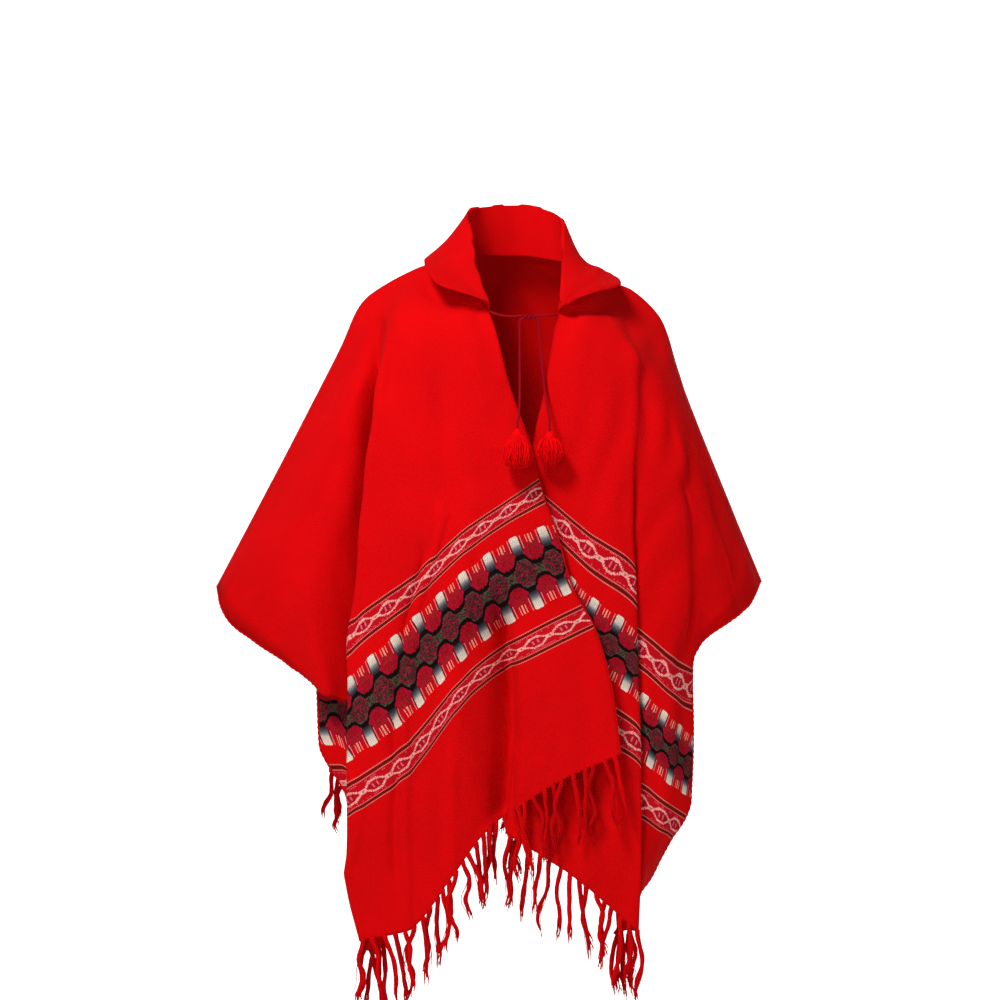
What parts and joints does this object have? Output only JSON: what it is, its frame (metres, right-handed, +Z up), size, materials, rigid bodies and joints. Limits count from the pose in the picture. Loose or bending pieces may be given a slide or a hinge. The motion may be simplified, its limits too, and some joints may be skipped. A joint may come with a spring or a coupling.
{
  "type": "andean poncho",
  "caption": "Open-fronted woven red wool poncho with a turned collar, patterned bands, fringed hems and a tie cord that ends in tassels, hanging as it is worn.",
  "frame": {"origin": "base of the neck, midway between the shoulders of whoever wears it", "axes": "+Z up, -Y to the wearer's front, +X to the wearer's left"},
  "size_m": [0.6814, 0.3529, 1.0177],
  "materials": {
    "red_wool_cloth": "matte woven wool",
    "red_wool_yarn": "matte wool yarn",
    "crimson_cord": "matte twisted cord"
  },
  "bodies": {
    "root": {"right_front": "red_wool_cloth", "left_front": "red_wool_cloth", "back": "red_wool_cloth", "collar": "red_wool_cloth", "fringe_right_front": "red_wool_yarn", "fringe_left_front": "red_wool_yarn", "fringe_back": "red_wool_yarn", "tie_cord_right": "crimson_cord", "tie_cord_left": "crimson_cord", "tassel_of_right_cord": "red_wool_yarn", "tassel_of_left_cord": "red_wool_yarn"}
  },
  "joints": []
}
